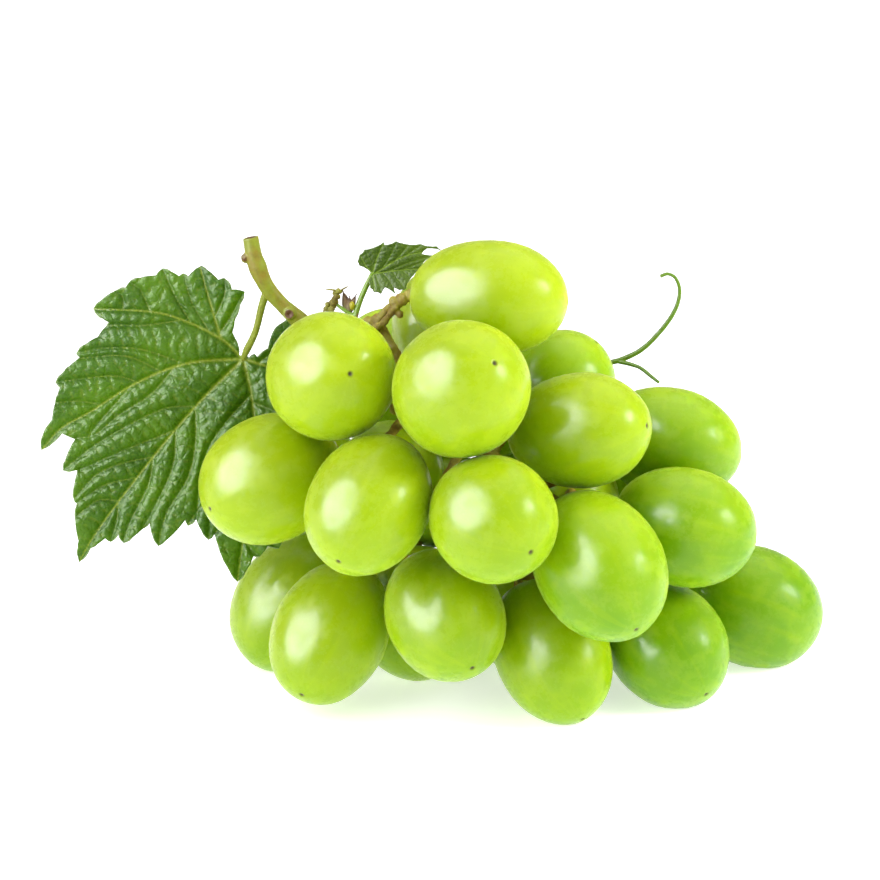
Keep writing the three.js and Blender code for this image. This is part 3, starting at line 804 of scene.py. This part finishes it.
def makeCane():
    bm = bmesh.new()
    growStem(bm, allAt(cane["path"]), cane["radius"], sides=28, spacing=0.3 * mm, roughness=0.05 * mm)
    scar, knot = at(*cane["budScar"]), at(*cane["knot"])
    addKnob(bm, scar, 0.85 * mm, (1, 1, 1.2), 0.12 * mm)
    addKnob(bm, knot, 1.3 * mm, (1.1, 0.9, 1.2), 0.16 * mm, 3)
    piece = newPiece("caneBarkPiece", bm, [caneSkin], "cane")
    fuse(piece, 0.16 * mm)
    eye = knot + Vector(cane["eye"]) * mm
    pitRadius, pitDepth = cane["eyePit"]
    lipRadius, lipWidth, lipHeight = cane["eyeLip"]
    for v in piece.data.vertices:
        gap = (v.co - eye).length
        pit = math.exp(-(gap / (pitRadius * mm)) ** 2)
        lip = math.exp(-((gap - lipRadius * mm) / (lipWidth * mm)) ** 2)
        v.co += (v.co - knot).normalized() * (lipHeight * lip - pitDepth * pit) * mm
    cutEnd = at(*cane["path"][0])
    marks = [(scar, 0.75 * mm), (eye, 0.8 * mm), (cutEnd, 0.9 * mm)]
    writeAttribute(piece, "scar", nearness(piece, marks))


makeCane()

leafStalk = {
    "path": [(-34.5, 13.2, 83), (-35.9, 14.3, 78.8), (-37.4, 15.5, 73), (-39.6, 17.6, 68),
             (-40.2, 18.3, 66.3)],
    "radius": taper((0, 1.05), (0.1, 0.8), (0.5, 0.68), (0.85, 0.75), (1, 0.5)),
}


def makeLeafStalk():
    bm = bmesh.new()
    growStem(bm, allAt(leafStalk["path"]), leafStalk["radius"], sides=18, spacing=0.3 * mm,
             roughness=0.03 * mm, seed=4)
    bmesh.ops.recalc_face_normals(bm, faces=bm.faces)
    piece = newPiece("leafStalkPiece", bm, [leafStalkSkin], "leaf_stalk")
    writeAttribute(piece, "scar", nearness(piece, [(at(*leafStalk["path"][0]), 0.7 * mm)]))


makeLeafStalk()


# Stalk of the bunch: a gnarled shoulder, the main axis, laterals, and a pedicel with a collar for each grape

stalk = {
    "peduncle": [(-24, 14, 72.2), (-18, 10.5, 74), (-12.5, 6.5, 77.5)],
    "axis": [(-12.5, 6.5, 77.5), (-9.5, 5, 72), (-4, 1.5, 63), (6, -2.5, 56), (19, -5, 46), (30, 2, 36),
             (37, 6, 28), (40, 10, 25)],
    "laterals": [
        [(-12.5, 6.5, 77.5), (-9.5, 4.5, 81), (-6.6, 1, 83.2)],
        [(-4, 1.5, 63), (4, 7, 58), (12, 25.5, 59), (17, 29.5, 62)],
        [(6, -2.5, 56), (0, 16, 56), (1, 24, 46)],
        [(19, -5, 46), (36, 8, 48), (37, 30, 46)],
        [(-4, 1.5, 63), (-12, -8, 56), (-22, -8, 52)],
        [(6, -2.5, 56), (-3, -8, 42), (-10, -2, 30), (-14, 8, 26)],
        [(30, 2, 36), (24, 4, 26), (6, 2, 24)],
        [(37, 6, 28), (33, 12, 25), (30, 33, 22)]],
    "knobs": [((-12.5, 6.5, 77.5), 1.45), ((-9, 3, 82.2), 1.25), ((-7.6, 1.6, 83), 1.35),
              ((-8, 2.2, 79.8), 0.8), ((-14.4, 7.4, 76.8), 1.3), ((-9.6, 4.8, 72), 1.3),
              ((-22.2, 13.6, 74.6), 1.2), ((-9, 1.6, 60.6), 1.2), ((19, -5, 46), 1.9)],
    "spurKnob": (-9, 1.6, 60.6),    # the one knob that stands off on a spur
    "fork": [(-13.4, 6.2, 75.6), (-11.6, 3.8, 77.6), (-9.2, 2.4, 80.8), (-7.4, 1.6, 82.8)],
    "peduncleRadius": 1.15,
    "axisRadius": (1.15, 1.0),
    "forkRadius": (0.75, 0.7),
    "lateralRadius": (0.95, 0.8),
    "spurRadius": (0.8, 0.75),
    "pedicelRadius": 0.62,
    "collarRadius": 1.55,
    "gnarl": 0.22,
}


def pushedOut(point, ownGrape, room):
    # moves a point out of every grape it lies in, apart from its own
    longestReach = 17 * mm
    for name, grape in grapes.items():
        span = point - grape["centre"]
        if name == ownGrape or span.length > longestReach:
            continue
        along = span.dot(grape["axis"])
        out = span - grape["axis"] * along
        depth = math.hypot(along / (grape["long"] + room), out.length / (grape["wide"] + room))
        if 0 < depth < 1:
            point = grape["centre"] + span / depth
    return point


def routed(points, name):
    # a pedicel bends round the grapes in its way
    path = curveThrough(points, 1.2 * mm)
    for _ in range(15):
        for index in range(1, len(path) - 2):
            path[index] = pushedOut(path[index] * 0.6 + (path[index - 1] + path[index + 1]) * 0.2,
                                    name, stalk["pedicelRadius"] * mm)
    return path


def makeStalk():
    bm = bmesh.new()
    gnarl = stalk["gnarl"] * mm
    growStem(bm, allAt(stalk["peduncle"]), taper((0, 1.6), (1, stalk["peduncleRadius"])), 14,
             roughness=gnarl)
    for kind, seed in (("axis", 2), ("fork", 5)):
        thick, thin = stalk[kind + "Radius"]
        growStem(bm, allAt(stalk[kind]), taper((0, thick), (1, thin)), 14, roughness=gnarl, seed=seed)
    leaving = allAt(stalk["axis"])
    thick, thin = stalk["lateralRadius"]
    for number, line in enumerate(stalk["laterals"]):
        path = curveThrough(allAt(line), 1.5 * mm)
        if number > 0:
            path = [pushedOut(place, None, 0.8 * mm) for place in path]
        growStem(bm, path, taper((0, thick), (1, thin)), 12, roughness=0.7 * gnarl, seed=number)
        leaving += path
    leaving += curveThrough(allAt(stalk["axis"]), 2 * mm)
    for place, radius in stalk["knobs"]:
        addKnob(bm, at(*place), radius * mm, roughness=1.3 * gnarl, seed=radius)
    thick, thin = stalk["spurRadius"]
    spurEnd = at(*stalk["spurKnob"])
    spurStart = min(leaving, key=lambda p: (p - spurEnd).length)
    growStem(bm, routed([spurStart, spurEnd], None), taper((0, thick), (1, thin)), 12,
             roughness=0.7 * gnarl, seed=1)
    pedicel = stalk["pedicelRadius"]
    pedicelTaper = taper((0, 0.85), (0.2, pedicel), (0.75, pedicel), (0.92, 1.1), (1, 1.2))
    for number, (name, grape) in enumerate(grapes.items()):
        end = grape["centre"] - grape["axis"] * (grape["long"] - 0.5 * mm)
        inward = end - grape["axis"] * 2.2 * mm
        start = min(leaving, key=lambda p: (p - inward).length)
        path = routed([start, inward, end], name)
        growStem(bm, path, pedicelTaper, 10, roughness=0.5 * gnarl, seed=number)
        collar = end - grape["axis"] * 0.55 * mm
        turn = grape["axis"].to_track_quat("Z", "Y").to_matrix().to_4x4()
        bmesh.ops.create_cone(bm, cap_ends=True, segments=20, radius1=0.9 * mm,
                              radius2=stalk["collarRadius"] * mm, depth=0.8 * mm,
                              matrix=Matrix.Translation(collar) @ turn)
    piece = newPiece("stalkPiece", bm, [stalkSkin], "stalk")
    fuse(piece, 0.26 * mm, smoothing=1, lump=0.12 * mm)
    marks = [(at(*place), radius * 0.6 * mm) for place, radius in stalk["knobs"]]
    writeAttribute(piece, "scar", nearness(piece, marks))


makeStalk()
print("cane and stalk made")


# Young side shoot, its bud and the withered flower cluster

sideShoot = {
    "path": [(-16.6, 11.8, 77), (-17.6, 12, 77.2), (-19, 12.3, 78), (-21, 12.8, 79.4)],
    "radius": taper((0, 0.55), (0.4, 0.42), (1, 0.32)),
    "stalkPath": [(-17.6, 11, 75.4), (-16.3, 13, 79.5), (-14.3, 14.2, 84), (-13.6, 14.1, 85.6)],
    "stalkRadius": taper((0, 0.8), (0.12, 0.62), (0.7, 0.55), (1, 0.35)),
}


def makeSideShoot():
    stems = [("sideShootPiece", "path", "radius", "side_shoot"),
             ("youngLeafStalkPiece", "stalkPath", "stalkRadius", "small_leaf_stalk")]
    for name, path, radius, node in stems:
        bm = bmesh.new()
        growStem(bm, allAt(sideShoot[path]), sideShoot[radius], sides=16, spacing=0.25 * mm,
                 roughness=0.03 * mm, seed=7)
        bmesh.ops.recalc_face_normals(bm, faces=bm.faces)
        piece = newPiece(name, bm, [shootSkin], node)
        writeAttribute(piece, "scar", nearness(piece, [(at(*sideShoot["path"][0]), 0.5 * mm)]))


makeSideShoot()

flowerCluster = {
    "path": [(-23.8, 13.2, 75), (-22.4, 13.2, 78), (-21.4, 13, 80.4), (-20.2, 13, 82.2)],
    "radius": taper((0, 0.75), (0.5, 0.5), (1, 0.4)),
    "beads": 46,
    "beadRadius": (0.34, 0.6),
    "beadSpread": 0.75,
    "leaflets": [((-20.6, 12.8, 82.2), (-23.1, 12.4, 82.5)), ((-20.2, 12.8, 82.1), (-18.4, 12.6, 83.1))],
    "leafletHalf": (0.4, 0.16),
}


def makeFlowerCluster():
    bm = bmesh.new()
    spine = allAt(flowerCluster["path"])
    path = growStem(bm, spine, flowerCluster["radius"], sides=12, spacing=0.3 * mm, roughness=0.1 * mm)
    draw = random.Random(12)
    low, high = flowerCluster["beadRadius"]
    for number in range(flowerCluster["beads"]):
        place = path[draw.randrange(2, len(path))]
        aside = Vector((draw.gauss(0, 1), draw.gauss(0, 1), draw.gauss(0, 0.5))).normalized()
        place = place + aside * flowerCluster["beadSpread"] * mm
        addKnob(bm, place, draw.uniform(low, high) * mm, roughness=0.08 * mm, seed=number)
    wide, thin = flowerCluster["leafletHalf"]
    for start, tip in flowerCluster["leaflets"]:
        start, tip = at(*start), at(*tip)
        middle = (start + tip) / 2
        turn = (tip - start).to_track_quat("X", "Z").to_matrix().to_4x4()
        reach = (tip - start).length / 2
        matrix = Matrix.Translation(middle) @ turn @ Matrix.Diagonal((reach, wide * mm, thin * mm, 1))
        bmesh.ops.create_icosphere(bm, subdivisions=3, radius=1, matrix=matrix)
    piece = newPiece("flowerClusterPiece", bm, [driedSkin], "flower_cluster")
    fuse(piece, 0.1 * mm, smoothing=1)
    writeAttribute(piece, "scar", nearness(piece, [(spine[0], 0.8 * mm)]))


makeFlowerCluster()

bud = {
    "foot": (-18.4, 13.2, 77.8),
    "scales": [  # lean to the side in degrees, length, half width
        (-16, 4.5, 1.05), (24, 3.9, 0.85), (4, 3.2, 1.0)],
    "scaleThickness": 0.14,
    "heart": (-17.7, 12.4, 79.1),
    "heartRadius": 0.62,
}


def makeBud():
    bm = bmesh.new()
    foot = at(*bud["foot"])
    for number, (lean, length, halfWidth) in enumerate(bud["scales"]):
        # a scale is a bent, pointed half shell
        sheet = bmesh.ops.create_grid(bm, x_segments=8, y_segments=14, size=1)["verts"]
        turn = Matrix.Rotation(math.radians(lean), 4, "Y")
        for v in sheet:
            up = (v.co.y + 1) / 2
            wide = math.sin(math.pi * min(1, 0.15 + up) ** 0.8 * 0.98) ** 0.7 * (1 - 0.25 * up)
            across = v.co.x * wide * halfWidth
            cup = (v.co.x ** 2 - 1) * wide * 0.7 + 0.5 * up ** 2 - 0.25 * number
            uneven = wobble(v.co, 0.4, 0.06 * mm, number)
            v.co = foot + turn @ (Vector((across, cup, up * length)) * mm) + uneven
    bm.normal_update()
    bmesh.ops.solidify(bm, geom=bm.faces[:], thickness=bud["scaleThickness"] * mm)
    scaleFaces = len(bm.faces)
    addKnob(bm, at(*bud["heart"]), bud["heartRadius"] * mm, (0.9, 0.9, 1.4), 0.06 * mm)
    bm.faces.ensure_lookup_table()
    for face in bm.faces[scaleFaces:]:
        face.material_index = 1
    piece = newPiece("budPiece", bm, [budSkin, budHeart], "bud")
    tips = [(foot + Matrix.Rotation(math.radians(lean), 3, "Y") @ Vector((0, 0, length * mm)), 0.9 * mm)
            for lean, length, _ in bud["scales"]]
    writeAttribute(piece, "scar", nearness(piece, tips))


makeBud()
print("side shoot made")


# Tendril

tendril = {
    "fork": (37.5, 29, 63.5),
    "long": [(20, 31, 62.5), (28, 30.5, 61.5), (33.5, 29.5, 62.5), (37.5, 29, 63.5), (42, 28.5, 66),
             (46, 28.5, 70.3), (48.6, 28.5, 74.5), (49.4, 29, 78), (48.6, 29.5, 80.6), (47, 30, 81.5),
             (45.4, 30, 81)],
    "longRadius": taper((0, 0.6), (0.3, 0.56), (0.38, 0.55), (0.7, 0.48), (0.94, 0.34), (1, 0.36)),
    "short": [(36.6, 29.2, 63.2), (41, 26.5, 62.6), (43.8, 24, 61), (45, 22.5, 60.4)],
    "shortRadius": taper((0, 0.48), (0.6, 0.38), (1, 0.32)),
}


def makeTendril():
    bm = bmesh.new()
    for line in ("long", "short"):
        growStem(bm, allAt(tendril[line]), tendril[line + "Radius"], sides=16, spacing=0.25 * mm,
                 roughness=0.03 * mm, seed=11)
    addKnob(bm, at(*tendril["fork"]), 0.55 * mm, (1.3, 1, 1), 0.03 * mm)
    piece = newPiece("tendrilPiece", bm, [tendrilSkin], "tendril")
    fuse(piece, 0.09 * mm)
    writeAttribute(piece, "scar", nearness(piece, [(at(*tendril["long"][-1]), 0.3 * mm)]))


makeTendril()
print("tendril made")


# Studio

studio = {
    "target": at(0, 0, 54.5),
    "distance": 700 * mm,
    "lookDown": 16,            # degrees
    "halfWidth": 88 * mm,      # seen to each side of the target
    "floorShade": 0.92,
    "floorGlow": 0.56,
    "worldLight": 0.36,
    "lamps": [  # name, direction from the bunch, distance, size, power, 1 if only seen in gloss
        ("keySoftbox", (-0.72, -0.48, 0.50), 0.8, 0.8, 4, 0),
        ("keySheen", (-0.75, -0.45, 0.50), 0.81, 1.1, 58, 1),
        ("sideWindow", (0.86, -0.20, 0.47), 1.0, 0.32, 6, 0),
        ("rightFill", (0.75, -0.55, 0.35), 1.1, 1.3, 4, 0),
        ("topSoftbox", (0.25, 0.20, 0.95), 1.0, 1.2, 6.2, 0)],
}


def placeLamp(name, direction, distance, size, power, glossOnly):
    light = bpy.data.lights.new(name, "AREA")
    light.shape = "DISK"
    light.size = size
    light.energy = power
    lamp = bpy.data.objects.new(name, light)
    bpy.context.scene.collection.objects.link(lamp)
    away = Vector(direction).normalized()
    lamp.location = studio["target"] + away * distance
    lamp.rotation_euler = away.to_track_quat("Z", "Y").to_euler()
    lamp.visible_camera = False
    lamp.visible_diffuse = not glossOnly
    lamp.visible_transmission = not glossOnly


def makeFloor():
    bm = bmesh.new()
    bmesh.ops.create_grid(bm, x_segments=2, y_segments=2, size=6)
    mesh = bpy.data.meshes.new("floor")
    bm.to_mesh(mesh)
    bm.free()
    floor = bpy.data.objects.new("floor", mesh)
    bpy.context.scene.collection.objects.link(floor)
    shade = studio["floorShade"]
    material = newMaterial("floorPaper", Base_Color=(shade, shade, shade, 1), Roughness=0.9,
                           Emission_Color=(1, 1, 1, 1), Emission_Strength=studio["floorGlow"])[0]
    mesh.materials.append(material)
    floor.location.z = -0.02 * mm


def makeCamera():
    camera = bpy.data.cameras.new("camera")
    camera.sensor_width = 36
    camera.lens = camera.sensor_width / 2 * studio["distance"] / studio["halfWidth"]
    view = bpy.data.objects.new("camera", camera)
    bpy.context.scene.collection.objects.link(view)
    tilt = math.radians(studio["lookDown"])
    away = Vector((0, -math.cos(tilt), math.sin(tilt)))
    view.location = studio["target"] + away * studio["distance"]
    view.rotation_euler = away.to_track_quat("Z", "Y").to_euler()
    bpy.context.scene.camera = view


makeFloor()
makeCamera()
for lampRow in studio["lamps"]:
    placeLamp(*lampRow)
world = bpy.data.worlds.new("studioWorld")
bpy.context.scene.world = world
world.use_nodes = True
world.node_tree.nodes["Background"].inputs["Color"].default_value = (1, 1, 1, 1)
world.node_tree.nodes["Background"].inputs["Strength"].default_value = studio["worldLight"]
bpy.context.scene.view_settings.view_transform = "Standard"
print("studio made")
